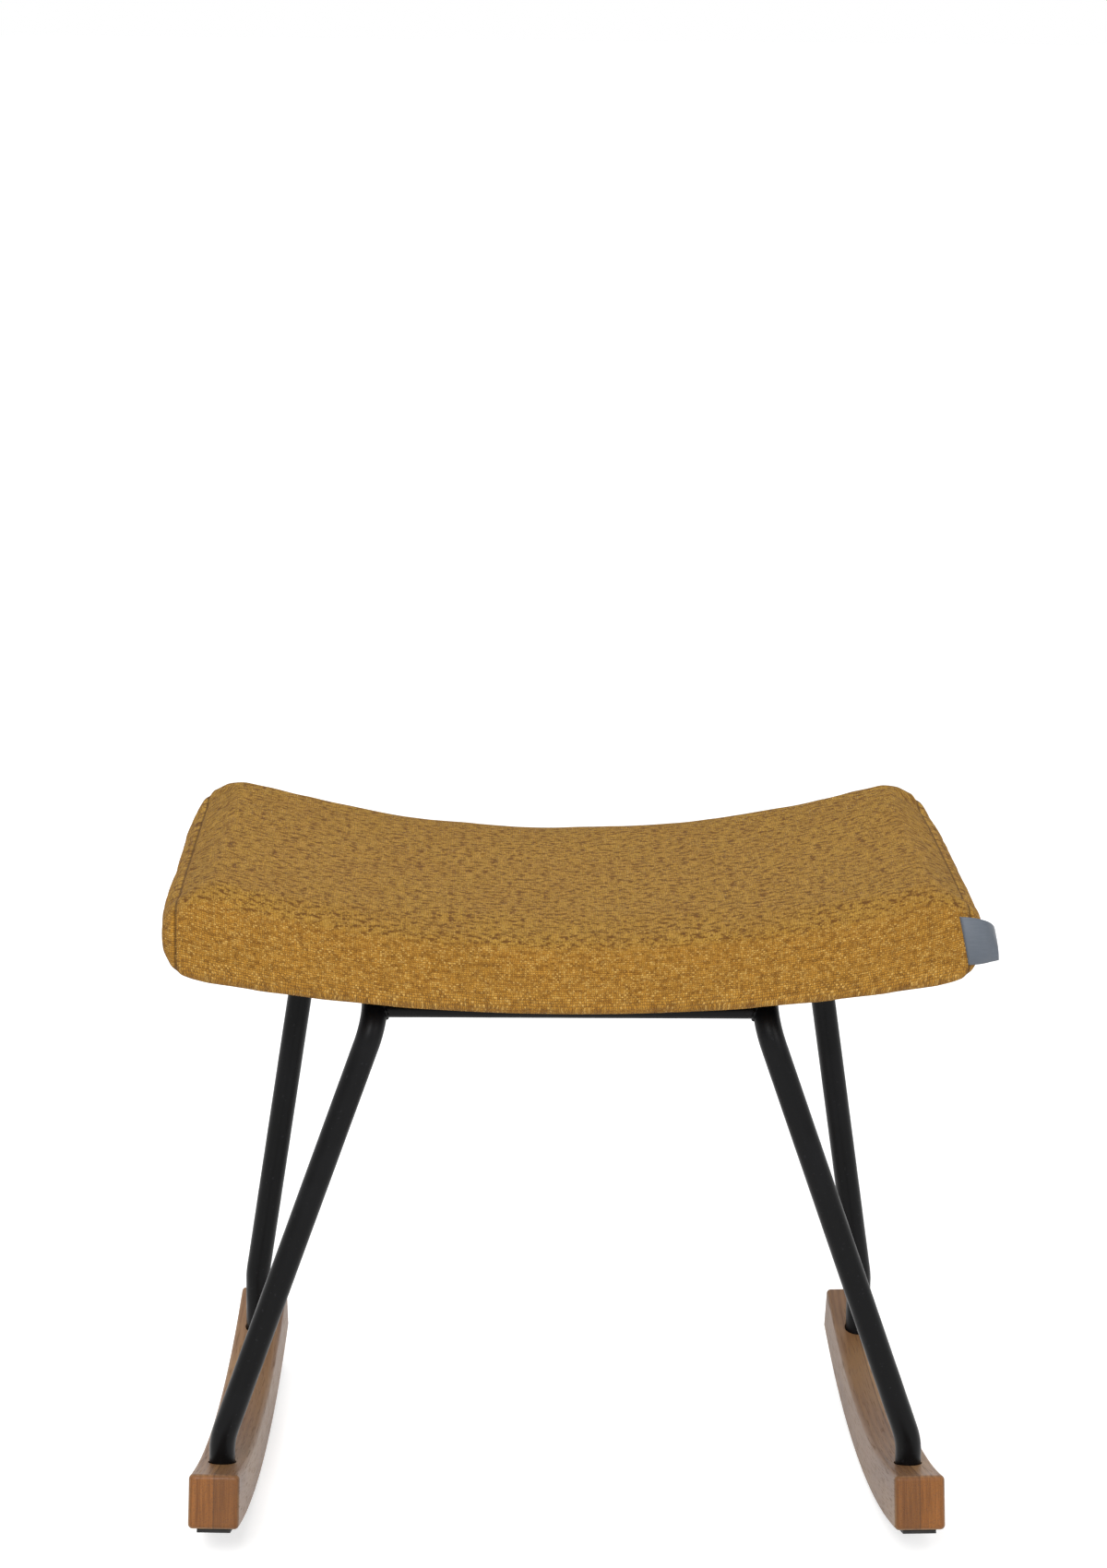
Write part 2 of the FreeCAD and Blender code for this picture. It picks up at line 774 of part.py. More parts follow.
def make_lug(name, side, end, bar):
    """A flat lug under the seat, welded to the inner side of the rail and cut to its round."""
    body = document.addObject("PartDesign::Body", f"LugPlate{end}{name}")
    sketch = new_sketch(body, "LugOutline", "XY_Plane")
    lug_outline(sketch, side)
    radius = size("bolt_hole_radius")
    circle = Part.Circle(FreeCAD.Vector(), FreeCAD.Vector(0, 0, 1), radius)
    hole = sketch.addGeometry(circle, False)
    sketch.addConstraint(Sketcher.Constraint("Coincident", hole, MIDDLE, *ROOT))
    dimension(sketch, "Hole", "bolt_hole_radius", "Radius", hole, radius)
    plate = body.newObject("PartDesign::Pad", "Plate")
    plate.Profile = sketch
    plate.Reversed = True
    bind(plate, Length="lug_thickness")
    document.recompute()
    round_edges(
        body,
        plate,
        lambda edge: upright(edge) and edge.BoundBox.XMin * side < 0,
        "lug_corner",
    )
    place_on_lug(body, side, end)
    return node(cut(f"Lug{end}{name}", body, bar), f"seat_lug_{end}_{name}")


def make_seat_bolt(name, side, end):
    """The bolt that goes up through a lug and the board into its tee nut."""
    tag = f"{end}{name}"
    under = "-lug_thickness - washer_thickness"
    shank = cylinder(f"SeatShank{tag}", "bolt_radius", f"board_top_rise - ({under})")
    head = cylinder(f"SeatHead{tag}", "bolt_head_diameter / 2", "bolt_head_height")
    place_on_lug(shank, side, end, under)
    place_on_lug(head, side, end, f"{under} - bolt_head_height")
    return fuse(f"SeatBolt{tag}", [shank, head])


def make_seat_washer(name, side, end):
    """The washer between a lug and the head of its bolt."""
    tag = f"{end}{name}"
    disc = cylinder(f"SeatDisc{tag}", "washer_diameter / 2", "washer_thickness")
    hole = cylinder(f"SeatDiscHole{tag}", "bolt_hole_radius", "washer_thickness")
    for thing in (disc, hole):
        place_on_lug(thing, side, end, "-lug_thickness - washer_thickness")
    return cut(f"SeatWasher{tag}", disc, hole)


def make_tee_nut(name, side, end):
    """The tee nut: a flange on top of the board and a barrel down into it."""
    tag = f"{end}{name}"
    flange = cylinder(f"NutFlange{tag}", "nut_flange_diameter / 2", "nut_flange_thickness")
    barrel = cylinder(f"NutBarrel{tag}", "nut_barrel_diameter / 2", "nut_barrel_length")
    thread = cylinder(f"NutThread{tag}", "bolt_radius", "nut_barrel_length + nut_flange_thickness")
    place_on_lug(flange, side, end, "board_top_rise")
    place_on_lug(barrel, side, end, "nut_barrel_foot")
    place_on_lug(thread, side, end, "nut_barrel_foot")
    return cut(f"TeeNut{tag}", fuse(f"NutSolid{tag}", [flange, barrel]), thread)


def make_group(label, maker):
    """Four like fasteners, one at each corner, as one node of separate solids."""
    pieces = [maker(name, side, end) for name, side in SIDES.items() for end in ENDS]
    return node(group(label.title().replace("_", ""), pieces), label)


# Assembly


def make_all():
    """Every piece of the stool."""
    for name, side in SIDES.items():
        make_rocker(name, side)
        make_strip(name, side)
    tubes = {name: make_side_tube(name, side) for name, side in SIDES.items()}
    bars = [bar for bar, path in tubes.values()]
    document.recompute()
    for end in ENDS:
        make_cross_tube(end, bars, tubes["right"][1])
    for name, side in SIDES.items():
        for end in ENDS:
            make_leg_plug(name, side, end)
            make_lug(name, side, end, tubes[name][0])
    make_group("rocker_bolts", make_rocker_bolt)
    make_group("rocker_washers", make_rocker_washer)
    make_board()
    make_foam()
    make_cover()
    make_dust_cover()
    make_label_tab()
    make_group("seat_bolts", make_seat_bolt)
    make_group("seat_washers", make_seat_washer)
    make_group("tee_nuts", make_tee_nut)
    document.recompute()


def check_all():
    """Stops if an object failed or a sub-part has no valid solid."""
    for thing in document.Objects:
        if "Invalid" in thing.State or "Error" in thing.State:
            raise RuntimeError(f"{thing.Name} failed: {thing.State}")
    for thing in NODES:
        shape = thing.Shape
        if shape.isNull() or not shape.isValid() or not shape.Solids:
            raise RuntimeError(f"{thing.Label} has no valid solid")


make_all()
check_all()
os.makedirs("parts", exist_ok=True)
for thing in NODES:
    thing.Shape.exportStep(f"parts/{thing.Label}.step")
    box = thing.Shape.BoundBox
    print(
        f"{thing.Label}: {len(thing.Shape.Solids)} solids, {thing.Shape.Volume / 1000:.1f} cm3,"
        f" x {box.XMin:.1f} to {box.XMax:.1f}, y {box.YMin:.1f} to {box.YMax:.1f},"
        f" z {box.ZMin:.1f} to {box.ZMax:.1f}"
    )
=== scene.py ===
import math
import random

import bmesh
import bpy
from mathutils import Matrix, Vector, noise
from mathutils.bvhtree import BVHTree


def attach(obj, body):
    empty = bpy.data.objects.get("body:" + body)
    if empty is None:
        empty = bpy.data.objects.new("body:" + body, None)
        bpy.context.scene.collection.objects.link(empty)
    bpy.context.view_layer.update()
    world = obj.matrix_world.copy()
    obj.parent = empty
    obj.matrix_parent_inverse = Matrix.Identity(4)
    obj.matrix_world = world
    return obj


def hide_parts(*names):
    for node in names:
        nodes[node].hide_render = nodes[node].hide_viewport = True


# Rocking footstool: black bent steel legs on stained wooden rockers, and a
# saddle-shaped seat in woven mustard fabric. Metres, floor at z = 0, front at -y.

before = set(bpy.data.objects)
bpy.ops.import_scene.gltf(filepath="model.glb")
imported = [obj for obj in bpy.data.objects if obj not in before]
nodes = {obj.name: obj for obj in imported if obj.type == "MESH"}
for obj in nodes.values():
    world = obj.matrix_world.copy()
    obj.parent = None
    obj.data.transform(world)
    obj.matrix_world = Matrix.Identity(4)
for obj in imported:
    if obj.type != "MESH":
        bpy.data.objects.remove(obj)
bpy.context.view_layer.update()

DICE_SEED = 7
dice = random.Random(DICE_SEED)

# Sizes that the looks share with the solids

ROCKER_CENTRE = 0.6025
ROCKER_RADIUS = 0.600
ROCKER_MIDDLE = 0.2150
ROCKER_TOE = math.radians(2.3)
SADDLE_TOP_RADIUS = 0.890
SADDLE_BOTTOM_RADIUS = 1.300
SEAT_LOW_TOP = 0.403
SEAT_LOW_BOTTOM = 0.355
SEAM_INSET = 0.0095
SEAT_HALF_WIDTH = 0.2515
SEAT_HALF_DEPTH = 0.154
SEAM_X = SEAT_HALF_WIDTH - SEAM_INSET

# Small helpers for meshes


def shade_smooth(mesh):
    """Lets light run over a mesh without showing its faces."""
    mesh.polygons.foreach_set("use_smooth", [True] * len(mesh.polygons))


def add_piece(name, mesh, material):
    """A new piece of the stool in its own object, riding on the one body."""
    piece = bpy.data.objects.new(name, mesh)
    bpy.context.scene.collection.objects.link(piece)
    mesh.materials.clear()
    mesh.materials.append(material)
    shade_smooth(mesh)
    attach(piece, "root")
    return piece


def mesh_from(shape, name):
    """Turns a bmesh into a mesh and frees it."""
    mesh = bpy.data.meshes.new(name)
    shape.to_mesh(mesh)
    shape.free()
    return mesh


def apply_modifiers(piece):
    """Puts what the modifiers make into the piece's own mesh."""
    graph = bpy.context.evaluated_depsgraph_get()
    graph.update()
    done = bpy.data.meshes.new_from_object(piece.evaluated_get(graph))
    piece.modifiers.clear()
    piece.data = done


def bump_of(distance, width):
    """A smooth bell that is 1 on a line and fades over a width."""
    return math.exp(-((distance / width) ** 2))


def clamp(value):
    """A number held between 0 and 1."""
    return min(1.0, max(0.0, value))


# Small helpers for materials


class Recipe:
    """The node tree of one material, written as a chain of sums and textures."""

    def __init__(self, name, **finish):
        self.material = bpy.data.materials.new(name)
        self.material.use_nodes = True
        self.tree = self.material.node_tree
        self.shader = self.tree.nodes["Principled BSDF"]
        for key, value in finish.items():
            self.shader.inputs[key.replace("_", " ")].default_value = value

    def put(self, kind, *values, **settings):
        """Adds a node, sets it up and feeds its inputs in their order."""
        made = self.tree.nodes.new(kind)
        for key, value in settings.items():
            setattr(made, key, value)
        for socket, value in zip(made.inputs, values):
            self.feed(socket, value)
        return made

    def feed(self, socket, value):
        """A socket takes another node's output or a plain value."""
        if value is None:
            return
        if isinstance(value, bpy.types.NodeSocket):
            self.tree.links.new(value, socket)
        else:
            socket.default_value = value

    def sum(self, operation, *values):
        """One step of arithmetic."""
        return self.put("ShaderNodeMath", *values, operation=operation).outputs[0]

    def place(self):
        """The three coordinates of the point, in metres of the stool."""
        point = self.put("ShaderNodeTexCoord").outputs["Object"]
        return self.put("ShaderNodeSeparateXYZ", point).outputs

    def facing(self):
        """The three parts of the surface's direction, in the stool's own axes."""
        direction = self.put("ShaderNodeTexCoord").outputs["Normal"]
        return self.put("ShaderNodeSeparateXYZ", direction).outputs

    def point(self, x, y, z):
        """A point put together from three numbers."""
        return self.put("ShaderNodeCombineXYZ", x, y, z).outputs[0]

    def stretched(self, coordinates, x, y, z):
        """A point with each coordinate times its own scale."""
        scaled = [self.sum("MULTIPLY", c, s) for c, s in zip(coordinates, (x, y, z))]
        return self.point(*scaled)

    def noise(self, point, scale, detail=2.0, roughness=0.5):
        """Soft noise from 0 to 1 at a point."""
        made = self.put("ShaderNodeTexNoise")
        self.feed(made.inputs["Vector"], point)
        made.inputs["Scale"].default_value = scale
        made.inputs["Detail"].default_value = detail
        made.inputs["Roughness"].default_value = roughness
        return made.outputs["Fac"]

    def cells(self, along, across, length, width):
        """A random number from 0 to 1 for each short stretch of each thread."""
        thread = self.sum("FLOOR", self.sum("DIVIDE", across, width))
        start = self.chance(self.point(thread, 0.5, 0.5))
        place = self.sum("ADD", self.sum("DIVIDE", along, length), self.sum("MULTIPLY", start, 9.0))
        return self.chance(self.point(self.sum("FLOOR", place), thread, 1.5))

    def chance(self, point):
        """An even random number from 0 to 1 that only this point has."""
        return self.put("ShaderNodeTexWhiteNoise", point).outputs["Value"]

    def smooth_step(self, value, low, high, to_low=0.0, to_high=1.0):
        """A soft step of a value between two limits."""
        made = self.put("ShaderNodeMapRange", interpolation_type="SMOOTHSTEP")
        for socket, number in zip(made.inputs, (value, low, high, to_low, to_high)):
            self.feed(socket, number)
        return made.outputs[0]

    def blend(self, factor, first, second):
        """Mixes two colours."""
        made = self.put("ShaderNodeMix", data_type="RGBA")
        self.feed(made.inputs["Factor"], factor)
        self.feed(made.inputs["A"], first)
        self.feed(made.inputs["B"], second)
        return next(out for out in made.outputs if out.type == "RGBA")

    def colour(self, value):
        """Feeds the base colour."""
        self.feed(self.shader.inputs["Base Color"], value)

    def roughness(self, value):
        """Feeds the roughness."""
        self.feed(self.shader.inputs["Roughness"], value)

    def relief(self, height, distance):
        """Feeds the surface relief, with its depth in metres."""
        bump = self.put("ShaderNodeBump")
        bump.inputs["Strength"].default_value = 1.0
        bump.inputs["Distance"].default_value = distance
        self.feed(bump.inputs["Height"], height)
        self.feed(self.shader.inputs["Normal"], bump.outputs["Normal"])


def rgb(code):
    """A colour written as six hexadecimal digits of a screen colour."""
    parts = [int(code[i:i + 2], 16) / 255 for i in (0, 2, 4)]
    linear = [p / 12.92 if p <= 0.04045 else ((p + 0.055) / 1.055) ** 2.4 for p in parts]
    return (*linear, 1.0)


# Materials

COAT_BLACK, COAT_RUBBED, COAT_DUST = rgb("070708"), rgb("0D0D0F"), rgb("1A1A1C")
ZINC_GREY, ZINC_YELLOW = rgb("A9ABA8"), rgb("C9C6B8")
RUBBER_DARK, RUBBER_SCUFFED = rgb("1C1B1A"), rgb("34322F")
BIRCH_PALE, BIRCH_DARK, BIRCH_PLY = rgb("D8BE93"), rgb("BF9D6E"), rgb("8A6A43")
FOAM_DEEP, FOAM_PALE = rgb("D9D2B8"), rgb("EFEAD8")
CLOTH_BLACK, CLOTH_FIBRE, CLOTH_DOT = rgb("17171A"), rgb("2C2C30"), rgb("0C0C0E")
SATIN_DARK, SATIN_PALE, SATIN_RIB = rgb("434A53"), rgb("5D646E"), rgb("363D46")


def black_steel():
    """Black powder coat: a fine orange peel, soft rubbed patches and a little dust."""
    look = Recipe("black_steel", IOR=1.22)
    point = look.point(*look.place())
    rubbed = look.smooth_step(look.noise(point, scale=22.0, detail=3.0), 0.50, 0.72)
    specks = look.smooth_step(look.noise(point, scale=420.0), 0.66, 0.74)
    patches = look.noise(point, scale=60.0, detail=3.0)
    look.colour(look.blend(specks, look.blend(rubbed, COAT_BLACK, COAT_RUBBED), COAT_DUST))
    look.roughness(look.smooth_step(patches, 0.3, 0.7, 0.30, 0.42))
    look.relief(look.noise(point, scale=900.0), distance=0.00003)
    return look.material


def zinc_steel():
    """Bright zinc plating with a faint yellow and grey mottle."""
    look = Recipe("zinc_steel", Metallic=1.0)
    point = look.point(*look.place())
    mottle = look.noise(point, scale=260.0, detail=3.0)
    look.colour(look.blend(mottle, ZINC_GREY, ZINC_YELLOW))
    look.roughness(look.smooth_step(mottle, 0.3, 0.7, 0.28, 0.45))
    look.relief(look.noise(point, scale=1500.0), distance=0.00002)
    return look.material


SIDE_PALE, SIDE_RING, SIDE_CLOUD = rgb("8A6543"), rgb("765336"), rgb("93704B")
END_PALE, END_STREAK, END_BROAD = rgb("835020"), rgb("64390F"), rgb("965F27")
PORE_BROWN, DARK_LAYER, GLUE_LINE = rgb("4E3520"), rgb("4A2E16"), rgb("3A2412")
LAYER_EDGE = 0.0002
GLUE_REACH = 0.0006


def grain_place(look, side):
    """A point of the wood by the board: across it, along its arc and out from the arc's centre.

    The angle along the arc comes with it.
    """
    x, y, z = look.place()
    down = look.sum("SUBTRACT", ROCKER_CENTRE, z)
    angle = look.sum("ARCTAN2", y, down)
    along = look.sum("MULTIPLY", angle, ROCKER_RADIUS)
    square = look.sum("ADD", look.sum("POWER", y, 2.0), look.sum("POWER", down, 2.0))
    skew = look.sum("MULTIPLY", y, side * math.tan(ROCKER_TOE))
    across = look.sum("ADD", look.sum("SUBTRACT", x, side * ROCKER_MIDDLE), skew)
    return (across, along, look.sum("SQRT", square)), angle


def side_grain(look, here):
    """Growth rings that lie nearly flat on the sides, so the sides show broad figures."""
    sway = look.noise(look.stretched(here, 30.0, 7.0, 40.0), scale=1.0)
    ring = look.sum("ADD", look.sum("MULTIPLY", here[0], 1500.0), look.sum("MULTIPLY", sway, 15.0))
    ring = look.sum("MULTIPLY_ADD", look.sum("SINE", ring), 0.5, 0.5)
    colour = look.blend(ring, SIDE_PALE, SIDE_RING)
    cloud = look.noise(look.stretched(here, 30.0, 9.0, 30.0), scale=1.0, detail=3.0)
    return look.blend(look.smooth_step(cloud, 0.35, 0.7), colour, SIDE_CLOUD)


def end_grain(look, here):
    """The streaked ends of the board, which drink more stain."""
    streaks = look.noise(look.stretched(here, 900.0, 40.0, 30.0), scale=1.0, detail=4.0, roughness=0.65)
    broad = look.noise(look.stretched(here, 150.0, 40.0, 12.0), scale=1.0)
    colour = look.blend(look.smooth_step(streaks, 0.35, 0.65), END_PALE, END_STREAK)
    return look.blend(look.smooth_step(broad, 0.35, 0.7, 0.0, 0.5), colour, END_BROAD)


def faces_along(look, angle):
    """Is 1 on the two ends of the board, whose surface faces along its arc, and 0 on its sides."""
    ny, nz = look.facing()[1:3]
    along_y = look.sum("MULTIPLY", ny, look.sum("COSINE", angle))
    along_z = look.sum("MULTIPLY", nz, look.sum("SINE", angle))
    return look.smooth_step(look.sum("ABSOLUTE", look.sum("ADD", along_y, along_z)), 0.6, 0.9)


def rocker_wood(name, side):
    """Stained laminated hardwood, its grain bent along the rocker's arc."""
    look = Recipe(name, Specular_IOR_Level=0.35)
    here, angle = grain_place(look, side)
    across = here[0]
    wood = look.blend(faces_along(look, angle), side_grain(look, here), end_grain(look, here))
    # Pores are short fine streaks along the grain
    pores = look.noise(look.stretched(here, 1500.0, 60.0, 1500.0), scale=1.0)
    pores = look.smooth_step(pores, 0.52, 0.70)
    wood = look.blend(look.sum("MULTIPLY", pores, 0.45), wood, PORE_BROWN)
    # Two laminations with a thin glue line between them
    darker = look.smooth_step(look.sum("MULTIPLY", across, -side), -LAYER_EDGE, LAYER_EDGE)
    wood = look.blend(look.sum("MULTIPLY", darker, 0.34), wood, DARK_LAYER)
    glue = look.smooth_step(look.sum("ABSOLUTE", across), LAYER_EDGE, GLUE_REACH, 0.5, 0.0)
    look.colour(look.blend(glue, wood, GLUE_LINE))
    look.roughness(look.smooth_step(pores, 0.0, 1.0, 0.42, 0.60))
    look.relief(look.sum("SUBTRACT", 1.0, pores), distance=0.00006)
    return look.material


def strip_rubber():
    """Dark rubber with a fine cast grain and scuffed paler patches."""
    look = Recipe("strip_rubber", Specular_IOR_Level=0.3)
    point = look.point(*look.place())
    scuff = look.smooth_step(look.noise(point, scale=90.0, detail=4.0), 0.5, 0.75)
    look.colour(look.blend(scuff, RUBBER_DARK, RUBBER_SCUFFED))
    look.roughness(look.smooth_step(scuff, 0.0, 1.0, 0.62, 0.85))
    look.relief(look.noise(point, scale=1800.0), distance=0.00006)
    return look.material


PLY_PITCH = 0.0028


def plywood():
    """Pale birch faces with plies on the edge."""
    look = Recipe("plywood", Specular_IOR_Level=0.3)
    place = look.place()
    grain = look.noise(look.stretched(place, 6.0, 220.0, 220.0), scale=1.0, detail=3.0)
    plies = look.sum("SINE", look.sum("MULTIPLY", place[2], 2 * math.pi / PLY_PITCH))
    edge = look.smooth_step(look.sum("ABSOLUTE", look.facing()[2]), 0.5, 0.8, 0.5, 0.0)
    ply = look.sum("MULTIPLY", look.smooth_step(plies, -0.2, 0.2), edge)
    look.colour(look.blend(ply, look.blend(grain, BIRCH_PALE, BIRCH_DARK), BIRCH_PLY))
    look.roughness(look.smooth_step(grain, 0.0, 1.0, 0.6, 0.75))
    look.relief(grain, distance=0.0001)
    return look.material


def seat_foam():
    """Open-cell foam, pale and porous."""
    look = Recipe("seat_foam", Specular_IOR_Level=0.2)
    point = look.point(*look.place())
    pores = look.noise(point, scale=900.0, detail=3.0)
    look.colour(look.blend(pores, FOAM_DEEP, FOAM_PALE))
    look.roughness(look.smooth_step(pores, 0.0, 1.0, 0.85, 0.95))
    look.relief(pores, distance=0.0004)
    return look.material


DOT_PITCH = 0.0016


def black_cloth():
    """Thin black non-woven cloth with a bonded dot pattern and loose fibres."""
    look = Recipe("black_cloth", Specular_IOR_Level=0.25)
    x, y, z = look.place()
    turn = 2 * math.pi / DOT_PITCH
    rows = look.sum("SINE", look.sum("MULTIPLY", look.sum("ADD", x, y), turn))
    columns = look.sum("SINE", look.sum("MULTIPLY", look.sum("SUBTRACT", x, y), turn))
    dots = look.smooth_step(look.sum("MULTIPLY", rows, columns), 0.3, 0.7)
    fibres = look.noise(look.point(x, y, z), scale=700.0, detail=4.0, roughness=0.7)
    cloth = look.blend(fibres, CLOTH_BLACK, CLOTH_FIBRE)
    look.colour(look.blend(look.sum("MULTIPLY", dots, 0.6), cloth, CLOTH_DOT))
    look.roughness(look.smooth_step(dots, 0.0, 1.0, 0.9, 0.6))
    look.relief(look.sum("SUBTRACT", fibres, dots), distance=0.00015)
    return look.material


RIB_PITCH = 0.0007


def grey_satin():
    """Blue-grey satin ribbon with fine ribs across its length."""
    look = Recipe("grey_satin", Specular_IOR_Level=0.5, Sheen_Weight=0.3, Sheen_Roughness=0.35)
    place = look.place()
    ribs = look.sum("SINE", look.sum("MULTIPLY", place[2], 2 * math.pi / RIB_PITCH))
    fibre = look.noise(look.stretched(place, 150.0, 150.0, 2500.0), scale=1.0)
    satin = look.blend(fibre, SATIN_DARK, SATIN_PALE)
    look.colour(look.blend(look.smooth_step(ribs, -1.0, 1.0, 0.0, 0.35), satin, SATIN_RIB))
    look.roughness(look.smooth_step(fibre, 0.3, 0.7, 0.38, 0.5))
    look.relief(ribs, distance=0.00004)
    return look.material


WEAVE_PITCH = 0.0014
THREAD_ROUNDNESS = 0.45
WEFT_LENGTH = 0.0042
WARP_LENGTH = 0.0028
SWAY_ALONG = 0.0035
SWAY_ACROSS = 0.0018
WEAVE_RELIEF = 0.0007
SEAM_THREAD_AND_SHADE = (0.0003, 0.0013)
# Front and top yarn colours: one yarn painted as lit in two ways, more orange on the front and duller
# on the top.
YARN_FRONT_PAINTED_LIGHT, YARN_TOP_PAINTED_LIGHT, YARN_CLOUD = rgb("BD8733"), rgb("BC9037"), rgb("A87A2E")
WEFT_PALE, WEFT_DARK = rgb("D8AE5E"), rgb("7A5118")
WARP_PALE, WARP_DARK = rgb("E3B765"), rgb("8F5F1E")
SLUB_DARK, SLUB_PALE = rgb("6E4410"), rgb("CFA045")
FIBRE_SHADE, GAP_SHADE, SEAM_SHADE = rgb("8F6420"), rgb("6A4415"), rgb("4A2F10")


def weave(look, u, v):
    """A plain weave: its height from 0 to 1, and which of the two threads lies on top."""
    turn = math.pi / WEAVE_PITCH
    across = look.sum("SINE", look.sum("MULTIPLY", u, turn))
    down = look.sum("SINE", look.sum("MULTIPLY", v, turn))
    over = look.smooth_step(look.sum("MULTIPLY", across, down), -0.08, 0.08)
    across = look.sum("ABSOLUTE", across)
    down = look.sum("ABSOLUTE", down)
    upright = look.sum("MULTIPLY", across, look.sum("POWER", down, THREAD_ROUNDNESS))
    level = look.sum("MULTIPLY", down, look.sum("POWER", across, THREAD_ROUNDNESS))
    step = look.sum("SUBTRACT", upright, level)
    return look.sum("MULTIPLY_ADD", step, over, level), over


def thread_places(look, place, point, wraps):
    """Places along and across the weft, swayed a little as in any coarse cloth.

    The main panel wraps over the seat, so its threads run along x and over the edges;
    an end panel's threads run along y and z.
    """
    x, y, z = place
    u, v = y, z
    if wraps:
        rise = look.sum("MULTIPLY", look.sum("POWER", x, 2.0), 0.5 / SADDLE_TOP_RADIUS)
        drop = look.sum("SUBTRACT", look.sum("ADD", rise, SEAT_LOW_TOP), z)
        front = look.smooth_step(y, -0.1, 0.1, -1.0, 1.0)
        u, v = x, look.sum("MULTIPLY_ADD", drop, front, y)
    u = look.sum("MULTIPLY_ADD", look.noise(point, scale=160.0), SWAY_ALONG, u)
    v = look.sum("MULTIPLY_ADD", look.noise(point, scale=60.0), SWAY_ACROSS, v)
    return u, v


def yarn_colours(look, base, weft, warp, painted_light_level):
    """The colours of the two yarns, each stretch of thread a little paler or darker, more or less
    strongly on the top than on the front as painted light.
    """
    pale = look.blend(look.smooth_step(weft, 0.70, 1.00, 0.0, 0.40), base, WEFT_PALE)
    # The paler and darker stretches are real; how strongly they show on the top and on the front is
    # painted light.
    dark = look.sum("MULTIPLY", look.smooth_step(weft, 0.45, 0.10), painted_light_level(0.55, 0.95))
    weft_colour = look.blend(dark, pale, WEFT_DARK)
    light = look.sum("MULTIPLY", look.smooth_step(warp, 0.45, 1.00), painted_light_level(0.70, 0.25))
    pale = look.blend(light, base, WARP_PALE)
    warp_colour = look.blend(look.smooth_step(warp, 0.30, 0.05, 0.0, 0.55), pale, WARP_DARK)
    return weft_colour, warp_colour


def add_slubs(look, cloth, u, v, painted_light_level):
    """Thick brown places and pale yellow flecks in the yarn, each more or less strong on the top than
    on the front as painted light.
    """
    slubs = look.noise(look.stretched((u, v, 0.0), 185.0, 290.0, 1.0), scale=1.0, roughness=0.65)
    # The slubs and flecks are real; how strongly they show on the top and on the front is painted
    # light.
    shade = look.sum("MULTIPLY", look.smooth_step(slubs, 0.50, 0.64), painted_light_level(0.50, 1.00))
    gleam = look.sum("MULTIPLY", look.smooth_step(slubs, 0.48, 0.32), painted_light_level(0.20, 0.75))
    return look.blend(gleam, look.blend(shade, cloth, SLUB_DARK), SLUB_PALE)


def mustard_fabric(name, wraps):
    """Mustard mélange in a coarse ribbed weave, with brown slubs and pale yellow flecks, and painted
    light that makes the top duller and the front more orange.
    """
    look = Recipe(name, Specular_IOR_Level=0.1, Sheen_Weight=0.04, Sheen_Roughness=0.6)
    place = look.place()
    point = look.point(*place)
    u, v = thread_places(look, place, point, wraps)
    height, over = weave(look, u, v)
    weft = look.cells(u, v, WEFT_LENGTH, WEAVE_PITCH)
    warp = look.cells(v, u, WARP_LENGTH, WEAVE_PITCH)
    # Painted light: how far the surface faces up, blending the front's look into the top's.
    painted_top_light = look.smooth_step(look.facing()[2], 0.35, 0.85)

    def painted_light_level(on_front, on_top):
        """One number on the sides of the seat and another on its top, for the painted light that sets
        the top apart from the front.
        """
        return look.smooth_step(painted_top_light, 0.0, 1.0, on_front, on_top)

    cloud = look.noise(point, scale=26.0, detail=3.0)
    # Painted light: the base colour runs from the front's colour to the top's.
    base = look.blend(painted_top_light, YARN_FRONT_PAINTED_LIGHT, YARN_TOP_PAINTED_LIGHT)
    base = look.blend(look.smooth_step(cloud, 0.3, 0.7, 0.0, 0.5), base, YARN_CLOUD)
    weft_colour, warp_colour = yarn_colours(look, base, weft, warp, painted_light_level)
    cloth = add_slubs(look, look.blend(over, warp_colour, weft_colour), u, v, painted_light_level)
    fibre = look.noise(point, scale=1300.0)
    cloth = look.blend(look.smooth_step(fibre, 0.35, 0.65, 0.0, 0.25), cloth, FIBRE_SHADE)
    cloth = look.blend(look.smooth_step(height, 0.0, 0.5, 0.55, 0.0), cloth, GAP_SHADE)
    # A dark line along each seam: partly its thread, partly painted shade in the seam's groove.
    from_seam = look.sum("ABSOLUTE", look.sum("SUBTRACT", look.sum("ABSOLUTE", place[0]), SEAM_X))
    thread = look.smooth_step(from_seam, *SEAM_THREAD_AND_SHADE, 0.65, 0.0)
    look.colour(look.blend(thread, cloth, SEAM_SHADE))
    look.roughness(look.smooth_step(weft, 0.0, 1.0, 0.82, 0.95))
    fuzz = look.noise(point, scale=2600.0)
    look.relief(look.sum("MULTIPLY_ADD", fuzz, 0.35, height), WEAVE_RELIEF)
    return look.material


STEEL = black_steel()
ZINC = zinc_steel()
RUBBER = strip_rubber()
PLYWOOD = plywood()
FOAM = seat_foam()
BLACK_CLOTH = black_cloth()
SATIN = grey_satin()
FABRIC = mustard_fabric("mustard_fabric", wraps=True)
END_FABRIC = mustard_fabric("mustard_fabric_ends", wraps=False)

